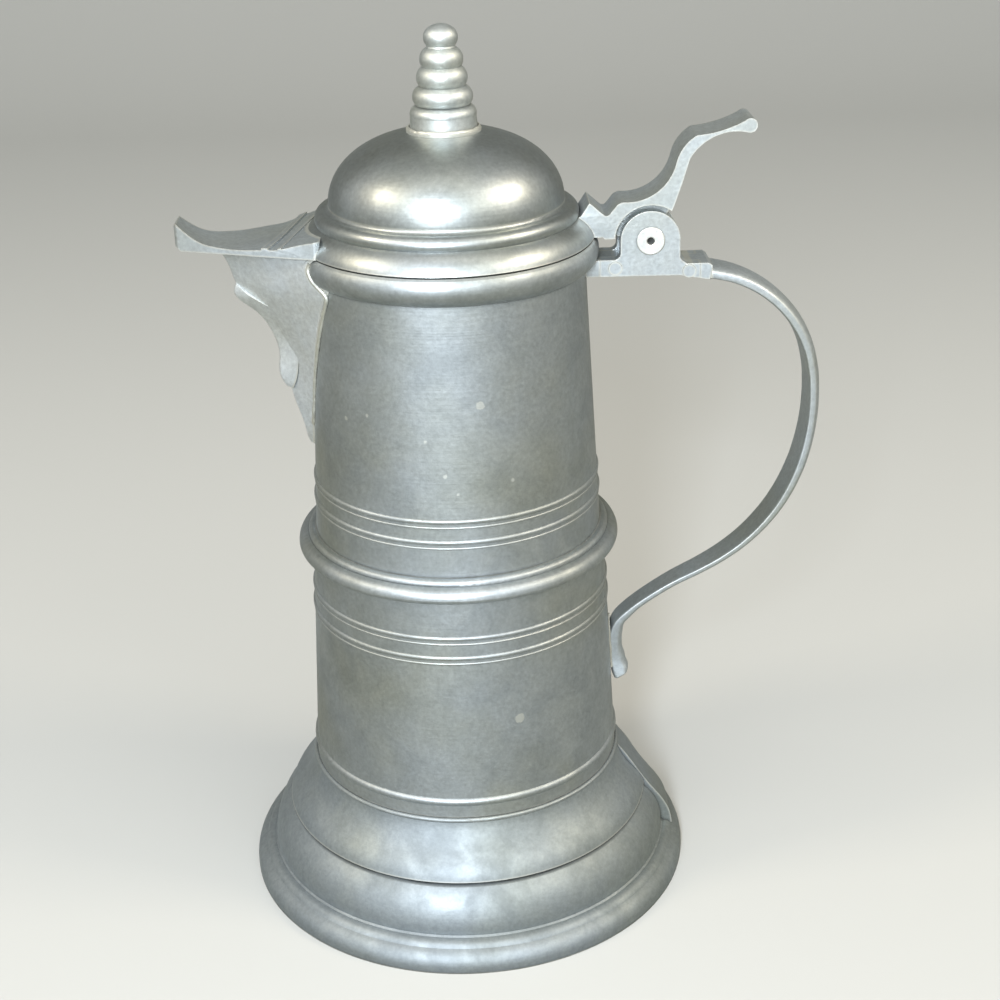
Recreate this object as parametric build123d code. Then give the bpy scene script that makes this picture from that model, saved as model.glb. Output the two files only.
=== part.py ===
from build123d import *
from math import acos, atan2, cos, degrees, radians, sin, sqrt
import os

os.makedirs("parts", exist_ok=True)

# Tall pewter pitcher with a hinged domed lid, in millimetres. The origin is the centre of the
# foot's underside, +Z is up, the handle stands towards +X and the spout towards -X.

# Drum: two tapered castings, the upper one slimmer, which meet in a rebate under the middle band
RIM_Z = 217.0
FOOT_H = 42.6
DRUM_BASE_R = 50.7
DRUM_WAIST_R = 46.8
DRUM_NECK_R = 45.9
DRUM_RIM_R = 41.1
WALL = 2.0
LAP = 4.0
BASE_DISC_T = 2.5
REED_R = 0.9
REED_PROUD = 0.55
REED_Z = (98.5, 105.1, 136.2, 142.8)
FINE_DROP = 1.9
FINE_R = 0.45
FINE_PROUD = 0.25
LOW_REED_Z = 48.1
LOW_REED_R = 1.6
LOW_REED_PROUD = 0.75

# Middle band: a bulge that is fullest low down, under a small rounded lip
BAND_Z = 120.9
BAND_WIDE_DROP = 1.0
BAND_PROUD = 4.7
BAND_NOSE = 1.6
BAND_SWELL = 3.3
BAND_LIP_H = 1.7
BAND_LIP_BACK = 1.0

# Rim collar
COLLAR_H = 8.6
COLLAR_PROUD = 3.8
COLLAR_LIP = 0.9
COLLAR_EDGE = 0.6

# Foot: a hollow casting of a rim, a lower ring and an ogee, with the strip left by its gate
FOOT_R = 74.0
FOOT_WALL = 2.2
FOOT_RIM_H = 7.0
RING_IN = 7.1
RING_Z = 9.4
GROOVE_IN = 13.1
GROOVE_DEPTH = 1.3
GROOVE_Z = 24.1
FOOT_BEAD = 0.8
GATE_W = 15.0
GATE_PROUD = 1.1

# Lid: a brim with an ovolo and a bead, a dome, and a bezel that drops into the drum
LID_GAP = 0.3
BRIM_R = 44.3
COVE_R = 39.3
COVE_H = 6.2
DOME_R = 35.4
DOME_BASE_H = 11.2
DOME_H = 21.6
DOME_WALL = 1.8
BEZEL_CLEAR = 0.5
BEZEL_T = 1.6
BEZEL_DEPTH = 4.0
BEZEL_SEAT = 2.5

# Finial: a short drum, three graded rings and a ball, held by a screw from inside the dome
FINIAL_R = 10.0
FINIAL_DRUM_H = 6.3
FINIAL_NECK_R = 7.8
FINIAL_RINGS = ((8.9, 3.0, 6.7, 5.6), (7.5, 2.7, 5.8, 5.5), (6.4, 1.8, 4.35, 5.4))
NECK_R = 4.2
NECK_H = 0.5
BALL_R = 5.05
BALL_ROUND = 3.4
BALL_TILT = 53.0
SEAT_R = 11.1
SEAT_T = 1.0
STUD_R = 2.5
SCREW_HEAD_R = 4.6
SCREW_HEAD_T = 2.2
SCREW_LENGTH = 9.0
SPOT_CLEAR = 0.5
SLOT_W = 1.1

# Hinge: two riveted cheeks on the handle's block, with the lever's knuckle between them
PIVOT_REACH = 19.5
PIVOT_Z = 215.8
HINGE_W = 14.5
CHEEK_T = 3.6
CHEEK_R = 9.0
CHEEK_RUN = 30.4
CHEEK_FILLET = 2.0
KNUCKLE_R = 8.7
RECESS_R = 10.8
SIDE_CLEAR = 0.3
TROUGH_CLEAR = 0.6
PIN_R = 2.5
PIN_CLEAR = 0.05
PIN_BORE_R = 1.1
PIN_HEAD_R = 4.25
PIN_HEAD_T = 0.7
RIVET_R = 2.0
RIVET_PROUD = 0.25
RIVETS = ((-10.6, -8.2), (11.8, -9.7))
BLOCK_TOP = 5.6
BLOCK_STEP = 7.4
BLOCK_BOTTOM = 10.6

# Handle: a crowned strap, narrower and thinner downwards, that ends in a curled-out tail
STRAP_DROP = 12.6
STRAP_START = 18.1
STRAP_DIR = -7.9
STRAP_ARCS = ((37.1, 74.4), (74.1, 25.7), (55.7, 45.4))
FOOT_ARCS = ((70.0, -17.2), (13.2, -45.5))
TAIL_ARC = (38.0, -15.0)
STRAP_HALF = ((0.0, 7.25), (0.45, 6.85), (0.95, 3.7), (1.0, 4.1))
STRAP_SIDE = ((0.0, 3.0), (0.45, 2.6), (0.8, 1.7), (0.92, 2.2), (1.0, 3.8))
STRAP_CROWN = ((0.0, 1.0), (0.45, 1.8), (0.9, 1.3), (1.0, 1.3))
STRAP_EASE = 0.45

# Spout: a V of two walls, with an overlapping tongue down its front edge. Its sizes are depths
# below the rim with reaches from the drum's surface, and it stands a little to the near side.
SPOUT_SHIFT = -1.8
SPOUT_WALL = 1.8
NOSE_R = 1.0
SEAT_LAP = 4.0
JOINT_LIP = 0.3
KEEL = ((0.0, 27.3, 20.7), (4.0, 25.7, 20.8), (8.0, 24.1, 20.2), (12.0, 22.5, 18.9), (16.0, 19.6, 17.1),
        (20.5, 16.0, 15.2), (25.0, 12.7, 13.6), (30.0, 9.9, 11.7), (37.0, 7.8, 9.0), (45.6, 6.8, 6.4),
        (53.0, 4.65, 4.4), (59.0, 2.8, 3.0), (64.0, 1.1, 1.6))
TONGUE = ((9.0, 22.9), (13.7, 23.6), (16.9, 21.7), (20.8, 16.8), (25.4, 13.3), (30.4, 11.1), (35.4, 10.35),
          (40.2, 10.45), (44.0, 8.95), (46.4, 7.6))
TONGUE_MERGE = ((9.0, 12.0), (20.7, 9.6), (30.0, 6.0), (36.0, 2.8), (46.4, 1.8))
TONGUE_SINK = 0.4
TONGUE_REAR = ((31.0, 4.9), (38.0, 4.4), (45.4, 6.3))
TONGUE_TOE = ((44.7, 8.6), (41.0, 12.0))
LEDGE = ((10.7, 22.7), (20.4, 9.3))
CHANNEL_DROPS = (-2.0, 0.0, 12.0, 20.5, 30.0, 45.6, 53.0)
CHANNEL_REACH = 12.0

# Flap over the spout: a tongue of the lid with an upturned tip and two slanting ribs
FLAP_TIP_X = 81.0
FLAP_TIP_HALF = 4.6
FLAP_ROOT_X = 37.0
FLAP_ROOT_HALF = 20.55
FLAP_TOP = ((80.3, 8.2), (77.2, 5.5), (73.1, 3.0), (67.5, 1.85), (61.0, 1.6), (54.5, 2.0), (49.6, 2.4),
            (45.8, 3.45), (42.0, 4.5), (36.0, 5.6))
FLAP_CORNER = 1.6
RIBS = ((55.3, 43.6, 2.2, 0.6), (50.5, 38.0, 1.1, 0.4))

RING_R = FOOT_R - RING_IN
LIP_R = FOOT_R - GROOVE_IN
PIVOT_X = DRUM_RIM_R + PIVOT_REACH
LID_Z = RIM_Z + LID_GAP
DOME_Z = LID_Z + DOME_BASE_H
DOME_TOP = DOME_Z + DOME_H
BEZEL_R = DRUM_RIM_R - WALL - BEZEL_CLEAR
HALF_W = HINGE_W / 2


def along(steps, u):
    """Value at u on a line through (place, value) pairs."""
    for (u0, v0), (u1, v1) in zip(steps, steps[1:]):
        if u <= u1:
            return v0 + (v1 - v0) * (u - u0) / (u1 - u0)
    return steps[-1][1]


def drum_r(z):
    """Outer radius of the drum at a height."""
    if z < BAND_Z:
        return along(((FOOT_H, DRUM_BASE_R), (BAND_Z, DRUM_WAIST_R)), z)
    return along(((BAND_Z, DRUM_NECK_R), (RIM_Z, DRUM_RIM_R)), z)


def bore_r(z):
    """Inner radius of the drum at a height."""
    return along(((FOOT_H, DRUM_BASE_R - WALL), (BAND_Z, DRUM_NECK_R - WALL), (RIM_Z, DRUM_RIM_R - WALL)), z)


def rebate_r(z):
    """Radius at which the two castings lap over one another."""
    return bore_r(z) + WALL / 2


def spun(outline):
    """Solid made by turning a closed outline of radius and height about the upright axis."""
    return revolve(Plane.XZ * make_face(outline), Axis.Z)


def slab(outline, half):
    """Solid made by thickening a side outline of x and z to both sides of the middle plane."""
    return extrude(Plane.XZ * make_face(outline), half, both=True)


def closed(*points):
    """Closed outline of straight lines."""
    return Polyline(*points, close=True)


def cylinder_y(x, z, radius, y0, y1):
    """Cylinder along Y between two planes."""
    plane = Plane((x, y0, z), x_dir=(1, 0, 0), z_dir=(0, 1, 0))
    return extrude(plane * Circle(radius), y1 - y0)


def reed(z, radius, proud):
    """Fine half-round ring that stands a little proud of the drum."""
    section = Pos(drum_r(z) + proud - radius, z) * Circle(radius)
    outside = Pos(drum_r(z) - WALL / 2 + 2 * radius, z) * Rectangle(4 * radius, 4 * radius)
    return revolve(Plane.XZ * (section & outside), Axis.Z)


def reeds(heights):
    """Reeds, each with a finer line under it."""
    rings = Part()
    for z in heights:
        rings += reed(z, REED_R, REED_PROUD) + reed(z - FINE_DROP, FINE_R, FINE_PROUD)
    return rings


def drum_lower():
    """Lower drum casting, with its half of the rebate at the top."""
    top = BAND_Z + LAP
    wall = spun(closed((bore_r(FOOT_H), FOOT_H), (DRUM_BASE_R, FOOT_H), (DRUM_WAIST_R, BAND_Z),
                       (rebate_r(BAND_Z), BAND_Z), (rebate_r(top), top), (bore_r(top), top), (bore_r(BAND_Z), BAND_Z)))
    return wall + reeds(REED_Z[:2]) + reed(LOW_REED_Z, LOW_REED_R, LOW_REED_PROUD)


def drum_upper(channel):
    """Upper drum casting, with the opening into the spout."""
    top = BAND_Z + LAP
    wall = spun(closed((rebate_r(BAND_Z), BAND_Z), (DRUM_NECK_R, BAND_Z), (DRUM_RIM_R, RIM_Z), (bore_r(RIM_Z), RIM_Z),
                       (bore_r(top), top), (rebate_r(top), top)))
    return wall + reeds(REED_Z[2:]) - channel


def base_disc():
    """Round bottom soldered into the lower end of the drum."""
    top = FOOT_H + BASE_DISC_T
    return spun(closed((0, FOOT_H), (bore_r(FOOT_H), FOOT_H), (bore_r(top), top), (0, top)))


def mid_band():
    """Bold ring that covers the joint of the drum, with a small rounded lip on top."""
    wide_r, wide_z = DRUM_WAIST_R + BAND_PROUD, BAND_Z - BAND_WIDE_DROP
    under = CenterArc((wide_r - BAND_NOSE, wide_z), BAND_NOSE, -90, 90)
    over = CenterArc((wide_r - BAND_SWELL, wide_z), BAND_SWELL, 0, 90)
    shelf = over @ 1
    top = shelf.Y + BAND_LIP_H
    lip = ThreePointArc(shelf, (shelf.X - BAND_LIP_BACK * 0.15, shelf.Y + BAND_LIP_H * 0.55),
                        (shelf.X - BAND_LIP_BACK, top))
    low = (under @ 0).Y
    rest = Polyline(lip @ 1, (drum_r(top), top), (DRUM_NECK_R, BAND_Z), (DRUM_WAIST_R, BAND_Z), (drum_r(low), low),
                    under @ 0)
    return spun(under + over + lip + rest)


def collar_outline():
    """Convex outer side of the rim collar, from its lower edge to the rim."""
    low = RIM_Z - COLLAR_H
    top_r = DRUM_RIM_R + COLLAR_PROUD - 0.25
    side = ThreePointArc((drum_r(low) + COLLAR_LIP, low), (drum_r(low) + COLLAR_PROUD, low + COLLAR_H * 0.4),
                         (top_r, RIM_Z - COLLAR_EDGE))
    return side + Line(side @ 1, (top_r - COLLAR_EDGE, RIM_Z))


def rim_collar(channel):
    """Convex collar soldered round the mouth, with the spout's opening through it."""
    low = RIM_Z - COLLAR_H
    edge = collar_outline()
    inner = Polyline(edge @ 1, (DRUM_RIM_R, RIM_Z), (drum_r(low), low), edge @ 0)
    return spun(edge + inner) - channel


def body_core(grow=0.0):
    """Drum and collar filled in, which the spout and the handle are cut to fit."""
    edge = Pos(grow, 0) * collar_outline()
    low = RIM_Z - COLLAR_H
    collar = spun(edge + Polyline(edge @ 1, (0, RIM_Z), (0, low), edge @ 0))
    drum = spun(closed((0, FOOT_H), (DRUM_BASE_R + grow, FOOT_H), (DRUM_WAIST_R + grow, BAND_Z),
                       (DRUM_NECK_R + grow, BAND_Z), (DRUM_RIM_R + grow, RIM_Z), (0, RIM_Z)))
    return collar + drum


def foot():
    """Hollow stepped foot with the flat strip of its casting gate under the handle."""
    top_r = DRUM_BASE_R + FOOT_BEAD
    inner_top = DRUM_BASE_R - WALL
    rim = ThreePointArc((FOOT_R, 1.2), (FOOT_R - 1.2, 5.2), (FOOT_R - 3.4, FOOT_RIM_H))
    bead = ThreePointArc(rim @ 1, (FOOT_R - 4.7, FOOT_RIM_H + 1.4), (RING_R + 0.6, RING_Z - 0.5))
    ring = ThreePointArc((RING_R, RING_Z), (RING_R - 1.2, (RING_Z + GROOVE_Z) / 2 - 0.5), (LIP_R, GROOVE_Z - 0.8))
    lip = (LIP_R, GROOVE_Z + 0.9)
    swell = ((LIP_R + top_r) / 2, GROOVE_Z + 8.1)
    ogee = Spline(lip, ((lip[0] + swell[0]) / 2 + 0.7, GROOVE_Z + 4.3), swell,
                  ((swell[0] + top_r) / 2 - 0.45, GROOVE_Z + 12.2), (top_r, FOOT_H - 1.4))
    top = ThreePointArc((top_r, FOOT_H - 1.4), (top_r + 0.3, FOOT_H - 0.7), (top_r - 0.3, FOOT_H))
    outline = (rim + bead + Line(bead @ 1, ring @ 0) + ring + Polyline(ring @ 1, (LIP_R - GROOVE_DEPTH, GROOVE_Z), lip)
               + ogee + top + Polyline(top @ 1, (0, FOOT_H), (0, 0), (FOOT_R, 0), rim @ 0))
    throat = LIP_R - GROOVE_DEPTH - 0.8 * FOOT_WALL
    inside_ring = ThreePointArc((RING_R - FOOT_WALL, RING_Z - 1.8),
                                (RING_R - FOOT_WALL - 1.2, (RING_Z + GROOVE_Z) / 2 - 1.4), (throat, GROOVE_Z - 1.6))
    hollow = inside_ring + Polyline(inside_ring @ 1, (throat, GROOVE_Z + 1.4),
                                    (swell[0] - 1.8, swell[1] - 1.2), (inner_top + 1.6, GROOVE_Z + 12.6),
                                    (inner_top, FOOT_H - 2.0), (inner_top, FOOT_H + 1), (0, FOOT_H + 1),
                                    (0, -1), (FOOT_R - FOOT_WALL, -1), (FOOT_R - FOOT_WALL, 1.8),
                                    (FOOT_R - FOOT_WALL - 2.8, FOOT_RIM_H - 2.2), inside_ring @ 0)
    slope = Spline((top_r - 1.0, FOOT_H - 1.2), (swell[0] + 1.6, swell[1] - 1.4), (LIP_R + GATE_PROUD, GROOVE_Z + 0.2),
                   (RING_R - 0.9, RING_Z + 9.6), (FOOT_R - 3.6, FOOT_RIM_H + 0.6))
    gate = slab(slope + Polyline(slope @ 1, (inner_top, FOOT_RIM_H + 0.6), (inner_top, FOOT_H - 1.2), slope @ 0),
                GATE_W / 2)
    return spun(outline) + gate - spun(hollow)


def brim_outline():
    """Outer side of the brim from its lower edge to the foot of the dome."""
    ovolo = ThreePointArc((BRIM_R, LID_Z + 0.3), (BRIM_R - 1.2, LID_Z + COVE_H * 0.46), (COVE_R + 0.1, LID_Z + COVE_H))
    bead = ThreePointArc(ovolo @ 1, (COVE_R + 0.35, LID_Z + COVE_H + 1.8), (DOME_R + 1.3, DOME_Z - 1.1))
    fillet = ThreePointArc(bead @ 1, (DOME_R + 0.45, DOME_Z - 0.85), (DOME_R, DOME_Z))
    return Polyline((BRIM_R - 0.3, LID_Z), (BRIM_R, LID_Z + 0.3)) + ovolo + bead + fillet


def lid_brim():
    """Moulded ring of the lid, hollow inside, with a seat for the bezel."""
    edge = brim_outline()
    inner = Polyline(edge @ 1, (DOME_R - DOME_WALL, DOME_Z), (DOME_R - DOME_WALL + 0.6, DOME_Z - 3.0),
                     (COVE_R - 2.6, LID_Z + COVE_H - 1.5), (BEZEL_R, LID_Z + BEZEL_SEAT), (BEZEL_R, LID_Z), edge @ 0)
    return spun(edge + inner)


def brim_core():
    """Brim filled in, which the flap and the lever are cut to fit."""
    edge = brim_outline()
    return spun(edge + Polyline(edge @ 1, (0, DOME_Z), (0, LID_Z), edge @ 0))


def dome_curve(shrink):
    """Dome's side from its foot to its crown, the outside or the inside of its wall."""
    foot_r, top = DOME_R - shrink, DOME_TOP - shrink
    return Bezier((foot_r, DOME_Z), (foot_r, DOME_Z + DOME_H * 0.47), (foot_r * 0.73, top), (0, top))


def lid_dome():
    """Domed shell on the brim, with a hole in its crown and a flat spot for the finial's screw."""
    outside, inside = dome_curve(0), dome_curve(DOME_WALL)
    shell = spun(outside + Line(outside @ 1, inside @ 1) + inside + Line(inside @ 0, outside @ 0))
    shell -= Pos(0, 0, DOME_TOP - 1.5 * DOME_WALL) * Cylinder(SCREW_HEAD_R + SPOT_CLEAR, DOME_WALL)
    return shell - Pos(0, 0, DOME_TOP) * Cylinder(STUD_R, 4 * DOME_WALL)


def lid_bezel():
    """Thin ring that drops into the mouth and keeps the closed lid central."""
    low, high = LID_Z - BEZEL_DEPTH, LID_Z + BEZEL_SEAT
    return spun(closed((BEZEL_R - BEZEL_T, low), (BEZEL_R - 0.3, low), (BEZEL_R, low + 0.6),
                       (BEZEL_R, high), (BEZEL_R - BEZEL_T, high)))


def finial_seat():
    """Low flange ring between the dome's crown and the finial, hollowed to the dome's curve."""
    under = spun(dome_curve(0) + Polyline((0, DOME_TOP), (0, DOME_Z), (DOME_R, DOME_Z)))
    top = DOME_TOP + SEAT_T * 0.4
    disc = spun(closed((STUD_R, top - 3), (SEAT_R, top - 3), (SEAT_R, top - 0.5), (SEAT_R - 0.5, top), (STUD_R, top)))
    return disc - under


def finial():
    """Turned finial: drum with a rounded shoulder, graded rings, a neck and a ball."""
    z = DOME_TOP + SEAT_T * 0.4
    shoulder = ThreePointArc((FINIAL_R - 0.2, z + FINIAL_DRUM_H * 0.55), (FINIAL_R - 0.6, z + FINIAL_DRUM_H * 0.85),
                             (FINIAL_NECK_R, z + FINIAL_DRUM_H))
    outline = Line((FINIAL_R, z), shoulder @ 0) + shoulder
    start = shoulder @ 1
    height = z + FINIAL_DRUM_H
    for ring, rise, next_neck, step in FINIAL_RINGS:
        swell = ThreePointArc(start, (ring, height + rise), (next_neck, height + step))
        outline += swell
        start = swell @ 1
        height += step
    axis_r = BALL_R - BALL_ROUND
    dip = degrees(acos((NECK_R - axis_r) / BALL_ROUND))
    centre = height + NECK_H + BALL_ROUND * sin(radians(dip))
    side = CenterArc((axis_r, centre), BALL_ROUND, -dip, dip + BALL_TILT)
    join = side @ 1
    crown_r = join.X / cos(radians(BALL_TILT))
    crown = CenterArc((0, join.Y - crown_r * sin(radians(BALL_TILT))), crown_r, BALL_TILT, 90 - BALL_TILT)
    depth = DOME_TOP - DOME_WALL + SCREW_LENGTH
    rest = Polyline(crown @ 1, (0, depth), (STUD_R, depth), (STUD_R, z), (FINIAL_R, z))
    return spun(outline + Line(start, side @ 0) + side + crown + rest)


def finial_screw():
    """Slotted screw that holds the finial from inside the dome."""
    low = DOME_TOP - DOME_WALL
    shank = Pos(0, 0, low + SCREW_LENGTH / 2) * Cylinder(STUD_R, SCREW_LENGTH)
    head = Pos(0, 0, low - SCREW_HEAD_T / 2) * Cylinder(SCREW_HEAD_R, SCREW_HEAD_T)
    slot = Pos(0, 0, low - SCREW_HEAD_T) * Box(2 * SCREW_HEAD_R, SLOT_W, SCREW_HEAD_T)
    return shank + head - slot


def block_outline():
    """Side outline of the handle's block under the hinge."""
    top, step, bottom = PIVOT_Z - BLOCK_TOP, PIVOT_Z - BLOCK_STEP, PIVOT_Z - BLOCK_BOTTOM
    end = PIVOT_X + STRAP_START
    return closed((DRUM_RIM_R - 4, bottom), (DRUM_RIM_R - 4, top), (PIVOT_X, top), (PIVOT_X + 9.0, top - 0.4),
                  (PIVOT_X + 11.0, step), (end - 0.4, step), (end + 1.0, step - 1.0),
                  (end, PIVOT_Z - STRAP_DROP), (PIVOT_X + 9.0, bottom - 0.4))


def cheek_outline():
    """Side outline of a cheek: a round ear on a foot that lies in the block's side."""
    ear = Pos(PIVOT_X, PIVOT_Z) * Circle(CHEEK_R)
    post = Pos(PIVOT_X, PIVOT_Z - BLOCK_BOTTOM / 2) * Rectangle(2 * CHEEK_R, BLOCK_BOTTOM)
    run = make_face(block_outline()) & Pos(PIVOT_X, PIVOT_Z - BLOCK_BOTTOM) * Rectangle(CHEEK_RUN, 2 * BLOCK_BOTTOM)
    plate = ear + (post & Pos(PIVOT_X, PIVOT_Z - BLOCK_BOTTOM / 2 + 1) * Rectangle(2 * CHEEK_R, BLOCK_BOTTOM)) + run
    corners = [v for v in plate.vertices()
               if abs(abs(v.X - PIVOT_X) - CHEEK_R) < CHEEK_R / 45 and v.Y < PIVOT_Z - CHEEK_R / 2.25]
    return fillet(corners, CHEEK_FILLET)


def hinge_cheek(side):
    """One cheek of the hinge, on the near (-1) or far (+1) side."""
    plate = extrude(Plane((0, side * HALF_W, 0), x_dir=(1, 0, 0), z_dir=(0, -1, 0)) * cheek_outline(), side * CHEEK_T)
    holes = cylinder_y(PIVOT_X, PIVOT_Z, PIN_R, -HALF_W, HALF_W)
    for dx, dz in RIVETS:
        holes += cylinder_y(PIVOT_X + dx, PIVOT_Z + dz, RIVET_R, -HALF_W, HALF_W)
    return plate - holes


def strap_path():
    """Line of the strap's inner face, from the block round to the drum and out into the tail."""
    start = (PIVOT_X + STRAP_START, PIVOT_Z - STRAP_DROP)
    heading = radians(STRAP_DIR)
    edges = []
    point = Vector(*start)
    for radius, turn in STRAP_ARCS:
        edges.append(JernArc(point, (cos(heading), sin(heading)), radius, -turn))
        point = edges[-1] @ 1
        heading -= radians(turn)
    end = point
    swing = heading
    for radius, turn in FOOT_ARCS:
        centre_turn = -radians(turn)
        end = end + Vector(radius * (sin(swing + centre_turn) - sin(swing)),
                           -radius * (cos(swing + centre_turn) - cos(swing)))
        swing += centre_turn
    run = (drum_r(end.Y) - 0.4 - end.X) / cos(heading)
    edges.append(Line(point, point + Vector(cos(heading), sin(heading)) * run))
    point = edges[-1] @ 1
    for radius, turn in FOOT_ARCS + (TAIL_ARC,):
        edges.append(JernArc(point, (cos(heading), sin(heading)), radius, -turn))
        point = edges[-1] @ 1
        heading -= radians(turn)
    return Wire([e.edge() for e in edges])


def strap():
    """Crowned strap lofted through sections along its path."""
    path = strap_path()
    stations = 22
    sections = []
    for i in range(stations + 1):
        u = i / stations
        place, way = path @ u, path % u
        half, side, crown = along(STRAP_HALF, u), along(STRAP_SIDE, u), along(STRAP_CROWN, u)
        plane = Plane((place.X, 0, place.Y), x_dir=(0, 1, 0), z_dir=(way.X, 0, way.Y))
        inner = half - STRAP_EASE
        arc = ThreePointArc((inner, side), (0, side + crown), (-inner, side))
        rest = Polyline((-inner, side), (-half, side - STRAP_EASE), (-half, STRAP_EASE), (-inner, 0), (inner, 0),
                        (half, STRAP_EASE), (half, side - STRAP_EASE), (inner, side))
        sections.append(plane * make_face(arc + rest))
    return loft(sections)


def handle(core):
    """Handle casting: the block under the hinge and the strap down to the drum."""
    block = slab(block_outline(), HALF_W)
    trough = cylinder_y(PIVOT_X, PIVOT_Z, KNUCKLE_R + TROUGH_CLEAR, -HALF_W, HALF_W)
    cheeks = hinge_seat(-1) + hinge_seat(1)
    holes = Part()
    for dx, dz in RIVETS:
        holes += cylinder_y(PIVOT_X + dx, PIVOT_Z + dz, RIVET_R, -HALF_W, HALF_W)
    return block + strap() - trough - cheeks - holes - core


def hinge_seat(side):
    """Space in the block's side that a cheek fills."""
    plane = Plane((0, side * HALF_W, 0), x_dir=(1, 0, 0), z_dir=(0, -1, 0))
    return extrude(plane * cheek_outline(), side * CHEEK_T)


def cheek_rivets():
    """Two rivets through both cheeks and the block."""
    rivets = Part()
    for dx, dz in RIVETS:
        rivets += cylinder_y(PIVOT_X + dx, PIVOT_Z + dz, RIVET_R, -HALF_W - RIVET_PROUD, HALF_W + RIVET_PROUD)
    return rivets


def hinge_pin():
    """Tubular rivet with a flat head on each side, on which the lid turns."""
    reach = HALF_W + PIN_HEAD_T
    pin = cylinder_y(PIVOT_X, PIVOT_Z, PIN_R, -HALF_W, HALF_W)
    pin += cylinder_y(PIVOT_X, PIVOT_Z, PIN_HEAD_R, -reach, -HALF_W)
    pin += cylinder_y(PIVOT_X, PIVOT_Z, PIN_HEAD_R, HALF_W, reach)
    return pin - cylinder_y(PIVOT_X, PIVOT_Z, PIN_BORE_R, -reach, reach)


def at_pivot(*points):
    """Points given from the pivot, in the side view."""
    return [(PIVOT_X + x, PIVOT_Z + z) for x, z in points]


def lever_outline():
    """Side outline of the thumb lever: crest and notch by the lid, neck, and thumb rest."""
    crest = Polyline(*at_pivot((-25.0, 1.5), (-25.0, 6.0), (-20.8, 8.2), (-18.3, 12.0), (-14.2, 8.4)))
    notch = ThreePointArc(*at_pivot((-14.2, 8.4), (-13.2, 8.0), (-12.2, 8.5)))
    step = Line(*at_pivot((-12.2, 8.5), (-10.2, 11.0)))
    back = ThreePointArc(*at_pivot((-10.2, 11.0), (-9.1, 11.7), (-7.7, 11.9)))
    neck = ThreePointArc(*at_pivot((-7.7, 11.9), (1.1, 14.2), (7.2, 22.6)))
    shoulder = ThreePointArc(*at_pivot((7.2, 22.6), (10.0, 28.4), (13.2, 31.1)))
    rest = ThreePointArc(*at_pivot((13.2, 31.1), (20.5, 32.3), (27.4, 35.0)))
    tip = ThreePointArc(*at_pivot((27.4, 35.0), (31.0, 33.6), (28.3, 31.5)))
    under = ThreePointArc(*at_pivot((28.3, 31.5), (17.6, 30.2), (11.2, 24.0)))
    rear = ThreePointArc(*at_pivot((11.2, 24.0), (8.9, 16.3), (6.2, 8.6)))
    low = Polyline(*at_pivot((6.2, 8.6), (0, 0), (-10.6, 0.9), (-13.8, 0.9), (-14.4, 1.5), (-25.0, 1.5)))
    return crest + notch + step + back + neck + shoulder + rest + tip + under + rear + low


def thumb_lever(core):
    """Thumb lever with the hinge's knuckle in its middle and a round recess each side for a cheek."""
    lever = slab(lever_outline(), HALF_W)
    knuckle = HALF_W - CHEEK_T - SIDE_CLEAR
    recess = cylinder_y(PIVOT_X, PIVOT_Z, RECESS_R, -HALF_W, -knuckle)
    recess += cylinder_y(PIVOT_X, PIVOT_Z, RECESS_R, knuckle, HALF_W)
    lever = lever - recess + cylinder_y(PIVOT_X, PIVOT_Z, KNUCKLE_R, -knuckle, knuckle)
    return lever - cylinder_y(PIVOT_X, PIVOT_Z, PIN_R + PIN_CLEAR, -HALF_W, HALF_W) - core


def at_front(drop, reach):
    """Point of the side view at a depth below the rim and a reach in front of the drum's surface."""
    return (-(drum_r(RIM_Z - drop) + reach), RIM_Z - drop)


def keel_x(drop):
    """Distance of the spout's front edge from the axis at a depth below the rim."""
    return drum_r(RIM_Z - drop) + along([(d, reach) for d, reach, half in KEEL], drop)


def spout_half(drop):
    """Half width of the spout where it meets the drum, at a depth below the rim."""
    return along([(d, half) for d, reach, half in KEEL], drop)


def joint_x(drop, half):
    """Distance from the axis of the drum's surface at a depth and a half width."""
    return sqrt(drum_r(RIM_Z - drop) ** 2 - half ** 2)


def side_half(drop, x):
    """Half width of the spout's flat side at a depth and a distance from the axis."""
    half, keel = spout_half(drop), keel_x(drop)
    return half * (keel - x) / (keel - joint_x(drop, half))


def nosed(front, back, half):
    """V with a rounded point at the front, from which two sides run back to the half width."""
    angle = atan2(half, front - back)
    touch = (-(front - NOSE_R * (1 - sin(angle))), NOSE_R * cos(angle))
    return ThreePointArc((touch[0], -touch[1]), (-front, 0), touch)


def wedge_section(drop, grow=0.0):
    """Section of the spout's body, with straight flanks that run on inside the drum."""
    half = spout_half(drop)
    joint = joint_x(drop, half)
    nose = nosed(keel_x(drop) + grow, joint, half + grow)
    deep = joint - SEAT_LAP
    rest = Polyline(nose @ 1, (-joint, half + grow), (-deep, half + grow), (-deep, -half - grow),
                    (-joint, -half - grow), nose @ 0)
    return Plane((0, 0, RIM_Z - drop)) * make_face(nose + rest)


def tongue_section(drop, reach):
    """Section of the lower tongue, which dips into the body's sides behind its nose."""
    merge = drum_r(RIM_Z - drop) + along(TONGUE_MERGE, drop)
    half = side_half(drop, merge) - TONGUE_SINK
    nose = nosed(drum_r(RIM_Z - drop) + reach, merge, half)
    rest = Polyline(nose @ 1, (-merge, half), (-merge, -half), nose @ 0)
    return Plane((0, 0, RIM_Z - drop)) * make_face(nose + rest)


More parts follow.
